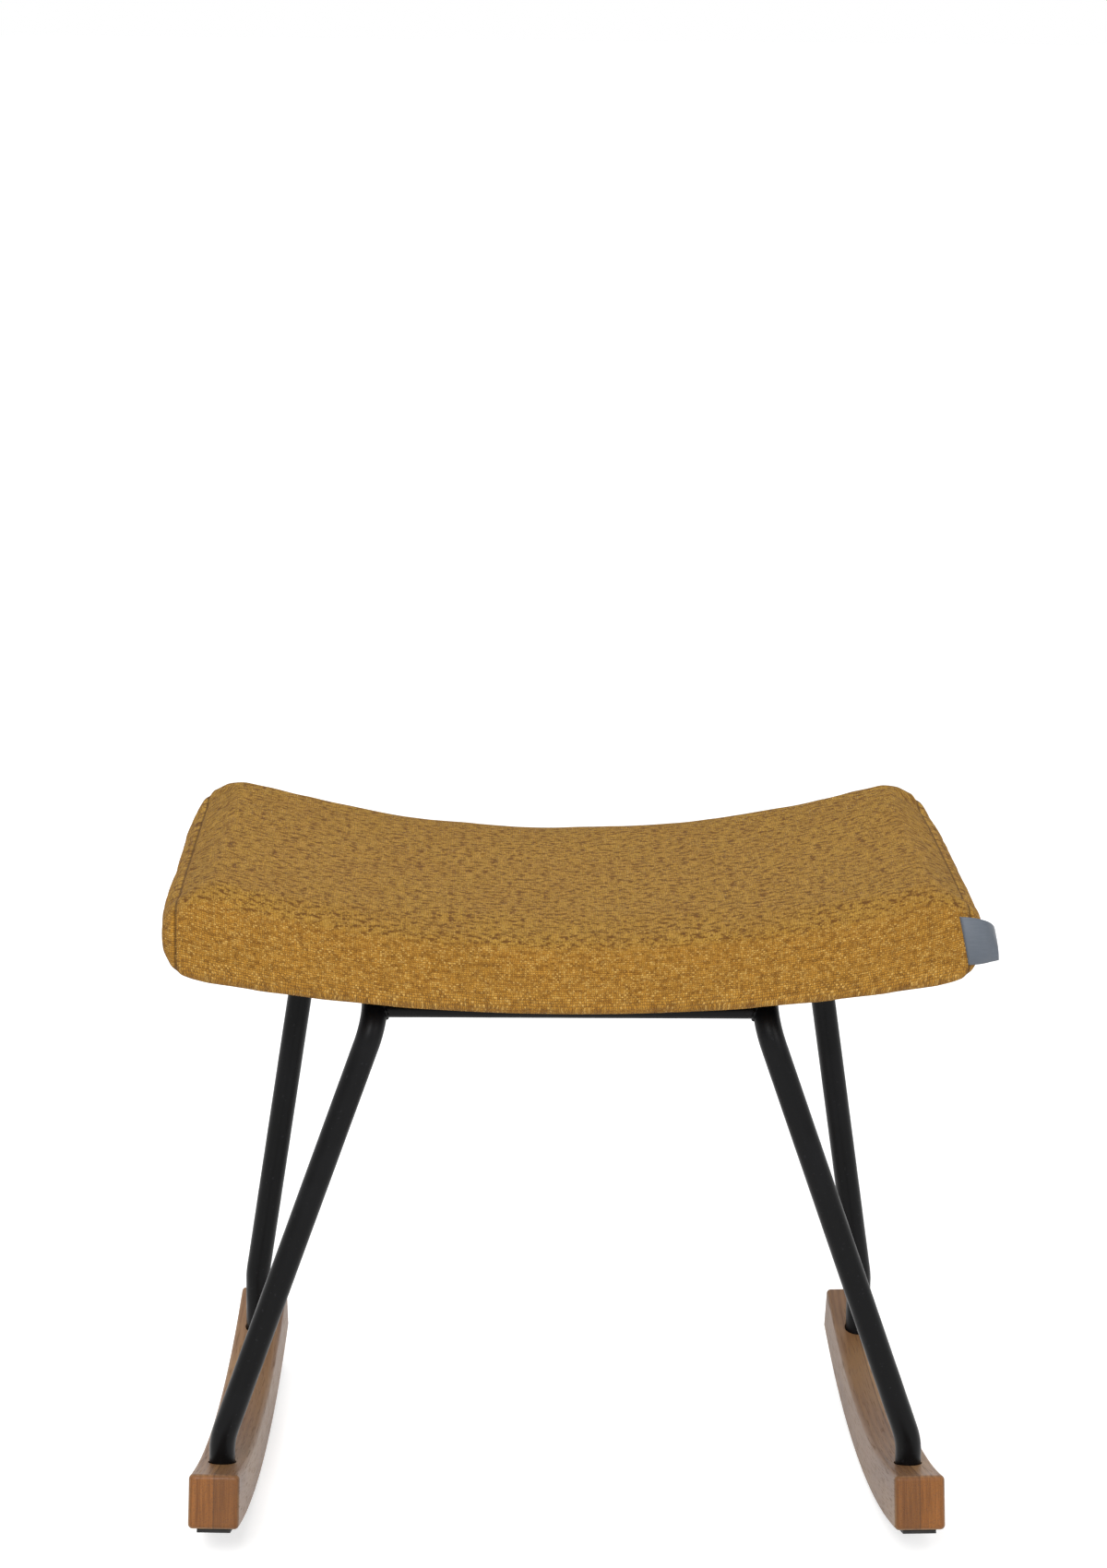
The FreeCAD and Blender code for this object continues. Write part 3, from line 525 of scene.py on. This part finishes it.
FINISH = {
    "side_tube": STEEL,
    "front_cross": STEEL,
    "rear_cross": STEEL,
    "seat_lug": STEEL,
    "leg_plug": ZINC,
    "rocker_bolts": ZINC,
    "rocker_washers": ZINC,
    "seat_bolts": ZINC,
    "seat_washers": ZINC,
    "tee_nuts": ZINC,
    "rocker_strip": RUBBER,
    "rocker_left": rocker_wood("rocker_wood_left", -1),
    "rocker_right": rocker_wood("rocker_wood_right", 1),
    "seat_board": PLYWOOD,
    "seat_foam": FOAM,
    "cover": FABRIC,
    "dust_cover": BLACK_CLOTH,
    "label_tab": SATIN,
}

for name, solid in nodes.items():
    finish = next(m for start, m in FINISH.items() if name.startswith(start))
    if not solid.material_slots:
        solid.data.materials.append(finish)
    for holder in solid.material_slots:
        holder.material = finish

# Seat cushion: the padded cover is blown up a little on its fixed lower edge

VOXEL = 0.005
PRESSURE = 4.0
SWELL_CAP = 0.0035
SWELL_FRAMES = 20
HELD_HEIGHT = 0.010
LOOSENING_HEIGHT = 0.020


def skin_of(names):
    """One closed skin around several solids, without what lies inside them."""
    shape = bmesh.new()
    for name in names:
        shape.from_mesh(nodes[name].data)
    skin = bpy.data.objects.new("seat_skin", mesh_from(shape, "seat_skin"))
    bpy.context.scene.collection.objects.link(skin)
    remesh = skin.modifiers.new("closed", "REMESH")
    remesh.mode = "VOXEL"
    remesh.voxel_size = VOXEL
    apply_modifiers(skin)
    shape = bmesh.new()
    shape.from_mesh(skin.data)
    keep_largest(shape)
    every_axis = {"use_axis_x": True, "use_axis_y": True, "use_axis_z": True}
    bmesh.ops.smooth_vert(shape, verts=shape.verts, factor=0.5, **every_axis)
    shape.to_mesh(skin.data)
    shape.free()
    return skin


def loose_parts(shape):
    """The connected parts of a mesh, each as a list of its points."""
    left = set(shape.verts)
    parts = []
    for start in shape.verts:
        if start not in left:
            continue
        left.remove(start)
        part = [start]
        # The list grows while it is walked, until no neighbour is left
        for corner in part:
            for link in corner.link_edges:
                other = link.other_vert(corner)
                if other in left:
                    left.remove(other)
                    part.append(other)
        parts.append(part)
    return parts


def keep_largest(shape):
    """Leaves only the largest connected skin of a mesh."""
    largest = set(max(loose_parts(shape), key=len))
    bmesh.ops.delete(shape, geom=[v for v in shape.verts if v not in largest], context="VERTS")


def saddle(x, low, radius):
    """Height of a surface that curves up from the middle of the seat to its ends."""
    return low + radius - math.sqrt(radius * radius - x * x)


def softness(point):
    """How freely the skin moves: not at all under the seat, fully above the board."""
    floor = saddle(point.x, SEAT_LOW_BOTTOM, SADDLE_BOTTOM_RADIUS)
    return clamp((point.z - floor - HELD_HEIGHT) / LOOSENING_HEIGHT)


def swell(skin):
    """Blows the skin up like foam under a tight cover, and limits how far it moves."""
    start = [v.co.copy() for v in skin.data.vertices]
    held = skin.vertex_groups.new(name="held")
    for index, point in enumerate(start):
        held.add([index], 1.0 - softness(point), "REPLACE")
    cloth = skin.modifiers.new("swell", "CLOTH")
    settings = cloth.settings
    settings.quality = 6
    settings.mass = 0.3
    settings.tension_stiffness = 25
    settings.compression_stiffness = 25
    settings.shear_stiffness = 10
    settings.bending_stiffness = 2.0
    settings.use_pressure = True
    settings.uniform_pressure_force = PRESSURE
    settings.vertex_group_mass = "held"
    settings.effector_weights.gravity = 0.0
    cloth.collision_settings.use_collision = False
    cloth.point_cache.frame_end = SWELL_FRAMES
    for number in range(1, SWELL_FRAMES + 1):
        bpy.context.scene.frame_set(number)
    apply_modifiers(skin)
    for vertex, old in zip(skin.data.vertices, start):
        move = vertex.co - old
        if move.length > SWELL_CAP:
            vertex.co = old + move * (SWELL_CAP / move.length)
    skin.vertex_groups.clear()


def refine(skin):
    """One level of smooth subdivision."""
    finer = skin.modifiers.new("finer", "SUBSURF")
    finer.levels = 1
    finer.render_levels = 1
    apply_modifiers(skin)


SEAM_LINES = (0.0, 0.0008, 0.0018, 0.0032, 0.0050)
SEAM_DEPTH = 0.0010
SEAM_WIDTH = 0.0012
SEAM_HOLD = 0.004
HELD_SEAM_SHARE = 0.35
LIP_HEIGHT = 0.0004
LIP_PLACE = 0.0030
LIP_WIDTH = 0.0016
PUCKER_HEIGHT = 0.0005
PUCKER_SCALE = 75.0
PUCKER_REACH = 0.012
LUMP_HEIGHT = 0.0006
LUMP_SCALE = 22.0
RIPPLE_HEIGHT = 0.0002
RIPPLE_SCALE = 70.0
END_BULGE = 0.0022
BULGE_START = 0.008
TOP_RISE = 0.0035


def seam_profile(distance):
    """How far the cloth sinks into a seam and stands up beside it."""
    lip = LIP_HEIGHT * bump_of(abs(distance) - LIP_PLACE, LIP_WIDTH)
    return lip - SEAM_DEPTH * bump_of(distance, SEAM_WIDTH)


def cut_seam_lines(shape):
    """Cuts fine lines along the two seams, so that the mesh can follow their profile."""
    for side in (-1, 1):
        for offset in SEAM_LINES:
            # The set holds the middle line once and every other line on both sides
            for way in {offset, -offset}:
                everything = shape.verts[:] + shape.edges[:] + shape.faces[:]
                middle = (side * (SEAM_X + way), 0.0, 0.0)
                bmesh.ops.bisect_plane(shape, geom=everything, plane_co=middle, plane_no=(1, 0, 0))


def cover_move(vertex):
    """How far one point of the cover moves for the seams, puckers, lumps and bulging ends."""
    point = vertex.co
    free = softness(point)
    from_seam = abs(point.x) - SEAM_X
    depth = seam_profile(from_seam) * max(HELD_SEAM_SHARE, free)
    path = Vector((0.0, point.y, point.z)) * PUCKER_SCALE
    pucker = PUCKER_HEIGHT * noise.noise(path) * bump_of(from_seam, PUCKER_REACH)
    lumps = LUMP_HEIGHT * noise.noise(point * LUMP_SCALE)
    lumps += RIPPLE_HEIGHT * noise.noise(point * RIPPLE_SCALE)
    belly = END_BULGE * clamp(from_seam / BULGE_START) * (1.0 - (point.y / SEAT_HALF_DEPTH) ** 4)
    move = vertex.normal * (depth + (pucker + lumps + belly) * free)
    # The seam keeps its place along the seat while the cloth beside it moves
    move.x *= min(1.0, abs(from_seam) / SEAM_HOLD)
    move.z += TOP_RISE * max(0.0, vertex.normal.z) * free
    return move


def shape_cover(skin):
    """Sinks the two seams into the cover and gives the cloth its small waves."""
    shape = bmesh.new()
    shape.from_mesh(skin.data)
    cut_seam_lines(shape)
    shape.normal_update()
    moves = [cover_move(vertex) for vertex in shape.verts]
    for vertex, move in zip(shape.verts, moves):
        vertex.co += move
    shape.to_mesh(skin.data)
    shape.free()


def panel_of(skin, name, keeps, material):
    """Cuts one panel out of the finished cover."""
    shape = bmesh.new()
    shape.from_mesh(skin.data)
    away = [f for f in shape.faces if not keeps(f.calc_center_median().x)]
    bmesh.ops.delete(shape, geom=away, context="FACES")
    piece = add_piece(name, mesh_from(shape, name), material)
    return piece


def make_cushion():
    """The padded cover with its main panel and two end panels."""
    panels = ["cover_main_panel", "cover_end_panel_left", "cover_end_panel_right"]
    skin = skin_of([*panels, "seat_foam", "seat_board"])
    swell(skin)
    refine(skin)
    shape_cover(skin)
    main = panel_of(skin, "seat_cover_main", lambda x: abs(x) <= SEAM_X, FABRIC)
    left = panel_of(skin, "seat_cover_end_left", lambda x: x < -SEAM_X, END_FABRIC)
    right = panel_of(skin, "seat_cover_end_right", lambda x: x > SEAM_X, END_FABRIC)
    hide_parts("cover_main_panel", "seat_foam")
    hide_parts("cover_end_panel_left")
    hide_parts("cover_end_panel_right")
    bpy.data.objects.remove(skin)
    return main, left, right


cushion = make_cushion()

# Label tab, dust cloth with its staples, and weld beads


def tree_of(*pieces):
    """The surfaces of several pieces, ready to be hit by rays."""
    shape = bmesh.new()
    for piece in pieces:
        shape.from_mesh(piece.data)
    tree = BVHTree.FromBMesh(shape)
    shape.free()
    return tree


def grid_mesh(name, columns, rows, place):
    """A sheet whose points are placed by a rule of two numbers from 0 to 1."""
    points = [place(i / columns, j / rows) for j in range(rows + 1) for i in range(columns + 1)]
    faces = []
    for j in range(rows):
        for i in range(columns):
            first = j * (columns + 1) + i
            faces.append((first, first + 1, first + columns + 2, first + columns + 1))
    mesh = bpy.data.meshes.new(name)
    mesh.from_pydata(points, [], faces)
    return mesh


def thicken(piece, thickness):
    """Gives a sheet its thickness on both sides of its surface."""
    wall = piece.modifiers.new("thickness", "SOLIDIFY")
    wall.thickness = thickness
    wall.offset = 0.0
    apply_modifiers(piece)
    shade_smooth(piece.data)


TAB_COLUMNS = 28
TAB_ROWS = 32
TAB_TUCK = (0.0004, 0.0010)
TAB_GAP = 0.0007
TAB_LIFT = 0.0012
TAB_LIFT_LENGTH = 1.4
# Depth of the curl, over the square of the share of the width that curls
TAB_CURL = 0.0075 / 0.42
TAB_CURL_START = 0.35
TAB_CURL_FOOT = 0.35
TAB_THICKNESS = 0.0008
TAB_FOOT = (Vector((0.2416, 0.3915)), Vector((0.2602, 0.3940)))
TAB_HEAD = (
    Vector((0.2350, 0.4215)),
    Vector((0.2462, 0.4225)),
    Vector((0.2560, 0.4190)),
    Vector((0.2580, 0.4110)),
)


def tab_outline(s, t):
    """Where a point of the flat ribbon lies, from the seam outwards and from its foot up."""
    foot = TAB_FOOT[0].lerp(TAB_FOOT[1], s)
    a, b, c, d = TAB_HEAD
    r = 1.0 - s
    head = a * r ** 3 + b * (3 * r * r * s) + c * (3 * r * s * s) + d * s ** 3
    return foot.lerp(head, t)


def front_of(cover, x, z):
    """Where the front of the cover lies at a height, or nothing beside it."""
    return cover.ray_cast(Vector((x, -1.0, z)), Vector((0, 1, 0)))[0]


def make_tab(cover):
    """A folded ribbon sewn into the right front seam, bowed a little and curled at its top corner."""

    def place(s, t):
        flat = tab_outline(s, t)
        seam = tab_outline(0.0, t)
        root = front_of(cover, seam.x, seam.y)
        if s == 0.0:
            return (seam.x - TAB_TUCK[0], root.y + TAB_TUCK[1], seam.y)
        bow = TAB_LIFT * math.sin(math.pi * min(1.0, TAB_LIFT_LENGTH * s))
        curl = TAB_CURL * max(0.0, s - TAB_CURL_START) ** 2 * (TAB_CURL_FOOT + t * t)
        y = root.y - TAB_GAP - bow + curl
        hit = front_of(cover, flat.x, flat.y)
        if hit is not None:
            y = min(y, hit.y - TAB_GAP)
        return (flat.x, y, flat.y)

    mesh = grid_mesh("label_ribbon", TAB_COLUMNS, TAB_ROWS, place)
    tab = add_piece("label_ribbon", mesh, SATIN)
    thicken(tab, TAB_THICKNESS)
    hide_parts("label_tab")


CLOTH_HALF_WIDTH = 0.2045
CLOTH_HALF_DEPTH = 0.1185
CLOTH_COLUMNS = 96
CLOTH_ROWS = 56
CLOTH_DROP = 0.0006
CLOTH_SAG = 0.0014
CLOTH_RIPPLE = 0.0005
SAG_HALF_WIDTH = 0.100
SAG_HALF_DEPTH = 0.080
CLOTH_THICKNESS = 0.0005
BOLT_HOLE = 0.0042
PUNCH_DEPTH = 0.006
PUNCH_SIDES = 24
SAME_PLACE = 1e-6


def cloth_height(x, y):
    """Just under the board, with a faint sag in the middle of the cloth."""
    low = saddle(x, SEAT_LOW_BOTTOM, SADDLE_BOTTOM_RADIUS) - CLOTH_DROP
    sag = math.cos(0.5 * math.pi * min(1.0, abs(x) / SAG_HALF_WIDTH))
    sag *= math.cos(0.5 * math.pi * min(1.0, abs(y) / SAG_HALF_DEPTH))
    ripple = CLOTH_RIPPLE * noise.noise(Vector((x * 18.0, y * 30.0, 3.0)))
    return low - (CLOTH_SAG + ripple) * sag


def middles_of(name):
    """The middle of each loose part of a solid."""
    shape = bmesh.new()
    shape.from_mesh(nodes[name].data)
    bmesh.ops.remove_doubles(shape, verts=shape.verts, dist=SAME_PLACE)
    middles = [sum((v.co for v in part), Vector()) / len(part) for part in loose_parts(shape)]
    shape.free()
    return middles


def make_dust_cloth():
    """Thin black cloth stretched under the seat, with a hole for each of the four seat bolts."""

    def place(s, t):
        x = (2 * s - 1) * CLOTH_HALF_WIDTH
        y = (2 * t - 1) * CLOTH_HALF_DEPTH
        return (x, y, cloth_height(x, y))

    mesh = grid_mesh("dust_cloth", CLOTH_COLUMNS, CLOTH_ROWS, place)
    cloth = add_piece("dust_cloth", mesh, BLACK_CLOTH)
    thicken(cloth, CLOTH_THICKNESS)
    punch = bmesh.new()
    radii = {"radius1": BOLT_HOLE, "radius2": BOLT_HOLE}
    round_bar = {"cap_ends": True, "segments": PUNCH_SIDES, "depth": PUNCH_DEPTH, **radii}
    for middle in middles_of("seat_bolts"):
        spot = Matrix.Translation((middle.x, middle.y, cloth_height(middle.x, middle.y)))
        bmesh.ops.create_cone(punch, matrix=spot, **round_bar)
    cutter = bpy.data.objects.new("punch", mesh_from(punch, "punch"))
    bpy.context.scene.collection.objects.link(cutter)
    holes = cloth.modifiers.new("holes", "BOOLEAN")
    holes.object = cutter
    holes.operation = "DIFFERENCE"
    apply_modifiers(cloth)
    bpy.data.objects.remove(cutter)
    return cloth


def wires(name, lines, radius, material, closed=False):
    """Round wires along several lines of points, each with its own thickness factor."""
    path = bpy.data.curves.new(name, "CURVE")
    path.dimensions = "3D"
    path.bevel_depth = radius
    path.bevel_resolution = 2
    path.use_fill_caps = True
    for line in lines:
        spline = path.splines.new("POLY")
        spline.points.add(len(line) - 1)
        spline.use_cyclic_u = closed
        for point, (place, factor) in zip(spline.points, line):
            point.co = (*place, 1.0)
            point.radius = factor
    holder = bpy.data.objects.new(name, path)
    bpy.context.scene.collection.objects.link(holder)
    graph = bpy.context.evaluated_depsgraph_get()
    mesh = bpy.data.meshes.new_from_object(holder.evaluated_get(graph))
    bpy.data.objects.remove(holder)
    return add_piece(name, mesh, material)


STAPLE_STEP = 0.034
STAPLE_INSET = 0.006
STAPLE_CROWN = 0.010
STAPLE_LEG = 0.0024
STAPLE_WIRE = 0.00035
STAPLE_CLEARANCE = 0.004
STAPLE_SHIFT = 0.002
STAPLE_TURN = 0.12
# Shares of the crown's width and of the leg's length, from one point of the staple to the other
STAPLE_PATH = ((-0.5, 1.0), (-0.5, 0.2), (-0.44, -0.1), (0.44, -0.1), (0.5, 0.2), (0.5, 1.0))


def staple_spots():
    """Middles and directions of the staples, in a row along each edge of the cloth."""
    for half, other, along in (
        (CLOTH_HALF_WIDTH, CLOTH_HALF_DEPTH, Vector((1, 0, 0))),
        (CLOTH_HALF_DEPTH, CLOTH_HALF_WIDTH, Vector((0, 1, 0))),
    ):
        row = 2 * half - 4 * STAPLE_INSET
        count = round(row / STAPLE_STEP)
        outward = Vector((along.y, along.x, 0)) * (other - STAPLE_INSET)
        for index in range(count + 1):
            shift = (index / count - 0.5) * row
            for way in (-1, 1):
                middle = along * (shift + dice.uniform(-STAPLE_SHIFT, STAPLE_SHIFT))
                yield middle + outward * way, along


def make_staples(steel):
    """Zinc staples pressed into the edge of the cloth, each a little askew."""
    lines = []
    for middle, along in staple_spots():
        middle.z = cloth_height(middle.x, middle.y)
        if steel.find_nearest(middle)[3] < STAPLE_CLEARANCE + STAPLE_CROWN / 2:
            continue
        along = Matrix.Rotation(dice.uniform(-STAPLE_TURN, STAPLE_TURN), 3, "Z") @ along
        line = []
        for reach, rise in STAPLE_PATH:
            point = middle + along * (reach * STAPLE_CROWN)
            crown = cloth_height(point.x, point.y) - (CLOTH_THICKNESS + STAPLE_WIRE) / 2
            point.z = crown + rise * STAPLE_LEG
            line.append((point, 1.0))
        lines.append(line)
    return wires("dust_cloth_staples", lines, STAPLE_WIRE, ZINC)


BEAD_RADIUS = 0.0013
BEAD_SEAT = 0.3
BEAD_POINTS = 56
BEAD_RIPPLES = 11
BEAD_SWING = 0.16
BEAD_CHANCE = 0.06


def make_weld_beads(steel):
    """A rippled bead of weld round each end of both cross tubes."""
    loops = []
    for name in ("front_cross_tube", "rear_cross_tube"):
        corners = [v.co for v in nodes[name].data.vertices]
        low_y, high_y = min(c.y for c in corners), max(c.y for c in corners)
        low_z, high_z = min(c.z for c in corners), max(c.z for c in corners)
        radius = (high_z - low_z) / 2 + BEAD_RADIUS * BEAD_SEAT
        for side in (-1, 1):
            loop = []
            for index in range(BEAD_POINTS):
                turn = 2 * math.pi * index / BEAD_POINTS
                y = (low_y + high_y) / 2 + radius * math.cos(turn)
                z = (low_z + high_z) / 2 + radius * math.sin(turn)
                hit = steel.ray_cast(Vector((0, y, z)), Vector((side, 0, 0)))[0]
                if hit is not None:
                    swing = BEAD_SWING * math.sin(BEAD_RIPPLES * turn)
                    swing += dice.uniform(-BEAD_CHANCE, BEAD_CHANCE)
                    loop.append((hit, 1.0 + swing))
            loops.append(loop)
    return wires("weld_beads", loops, BEAD_RADIUS, STEEL, closed=True)


make_tab(tree_of(*cushion))
steel_tubes = tree_of(nodes["side_tube_left"], nodes["side_tube_right"])
make_weld_beads(steel_tubes)
dust_cloth = make_dust_cloth()
staples = make_staples(steel_tubes)
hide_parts("dust_cover")

# Floor, light and camera

FLOOR_GLOW = 0.56
FLOOR_REACH = 30.0
AMBIENT = 0.55
WHITE = (1, 1, 1, 1)
SEAT_MIDDLE = (0.0, 0.0, 0.35)
# Name, place, width and height in metres, and power in watts
LAMPS = (
    ("key", (-0.7, -2.7, 2.4), 1.5, 1.5, 78.0),
    ("fill", (2.0, -2.0, 1.6), 1.2, 1.6, 20.0),
    ("top", (0.0, 0.6, 2.6), 2.0, 2.0, 14.0),
)


def background_rays(tree):
    """Is 1 where the surroundings are seen: by the camera, mirrored in gloss or through glass."""
    rays = tree.nodes.new("ShaderNodeLightPath").outputs
    seen = rays["Is Camera Ray"]
    for other in ("Is Glossy Ray", "Is Transmission Ray"):
        either = tree.nodes.new("ShaderNodeMath")
        either.operation = "MAXIMUM"
        tree.links.new(seen, either.inputs[0])
        tree.links.new(rays[other], either.inputs[1])
        seen = either.outputs[0]
    return seen


def make_floor():
    """A plain pale floor that runs up to the white background and keeps the shadow."""
    look = Recipe("floor", Roughness=0.9, Specular_IOR_Level=0.1)
    look.colour(rgb("E6E6E6"))
    level = look.sum("MULTIPLY", background_rays(look.tree), FLOOR_GLOW)
    glow = look.put("ShaderNodeEmission", WHITE, level)
    both = look.put("ShaderNodeAddShader", look.shader.outputs[0], glow.outputs[0])
    look.tree.links.new(both.outputs[0], look.tree.nodes["Material Output"].inputs["Surface"])
    mesh = bpy.data.meshes.new("floor")
    corners = [(x * FLOOR_REACH, y * FLOOR_REACH, 0) for x, y in ((-1, -1), (1, -1), (1, 1), (-1, 1))]
    mesh.from_pydata(corners, [], [(0, 1, 2, 3)])
    mesh.materials.append(look.material)
    floor = bpy.data.objects.new("floor", mesh)
    bpy.context.scene.collection.objects.link(floor)


def make_world():
    """White behind the stool, soft grey light from all around."""
    world = bpy.data.worlds.new("studio")
    bpy.context.scene.world = world
    world.use_nodes = True
    tree = world.node_tree
    level = tree.nodes.new("ShaderNodeMapRange")
    tree.links.new(background_rays(tree), level.inputs["Value"])
    level.inputs["To Min"].default_value = AMBIENT
    level.inputs["To Max"].default_value = 1.0
    background = tree.nodes["Background"]
    background.inputs["Color"].default_value = WHITE
    tree.links.new(level.outputs[0], background.inputs["Strength"])


def make_lights():
    """One large soft lamp from the upper front, with weaker ones at the right and above."""
    for name, place, width, height, power in LAMPS:
        lamp = bpy.data.lights.new(name, "AREA")
        lamp.shape = "RECTANGLE"
        lamp.size = width
        lamp.size_y = height
        lamp.energy = power
        box = bpy.data.objects.new(name, lamp)
        bpy.context.scene.collection.objects.link(box)
        box.location = place
        box.rotation_euler = (Vector(SEAT_MIDDLE) - Vector(place)).to_track_quat("-Z", "Y").to_euler()


CAMERA_PLACE = Vector((-0.0589, -2.2812, 1.0091))
CAMERA_PITCH = math.radians(13.35)
CAMERA_HEADING = math.radians(1.23)
CAMERA_ROLL = math.radians(0.60)
FOCAL_PIXELS = 3942.3
PICTURE_HEIGHT = 1700.0
SENSOR = 36.0
CLIP_END = 100.0


def make_camera():
    """The camera at the photograph's place, looking a little down."""
    lens = bpy.data.cameras.new("camera")
    lens.sensor_width = SENSOR
    lens.lens = FOCAL_PIXELS / PICTURE_HEIGHT * SENSOR
    lens.clip_end = CLIP_END
    camera = bpy.data.objects.new("camera", lens)
    bpy.context.scene.collection.objects.link(camera)
    right = Vector((math.cos(CAMERA_HEADING), -math.sin(CAMERA_HEADING), 0.0))
    ahead = Vector((math.sin(CAMERA_HEADING), math.cos(CAMERA_HEADING), 0.0))
    level = Vector((0.0, 0.0, 1.0))
    forward = ahead * math.cos(CAMERA_PITCH) - level * math.sin(CAMERA_PITCH)
    up = level * math.cos(CAMERA_PITCH) + ahead * math.sin(CAMERA_PITCH)
    turned_right = right * math.cos(CAMERA_ROLL) + up * math.sin(CAMERA_ROLL)
    turned_up = up * math.cos(CAMERA_ROLL) - right * math.sin(CAMERA_ROLL)
    turn = Matrix((turned_right, turned_up, -forward)).transposed()
    camera.matrix_world = Matrix.Translation(CAMERA_PLACE) @ turn.to_4x4()
    bpy.context.scene.camera = camera


make_floor()
make_world()
make_lights()
make_camera()

bpy.context.scene.view_settings.view_transform = "Standard"
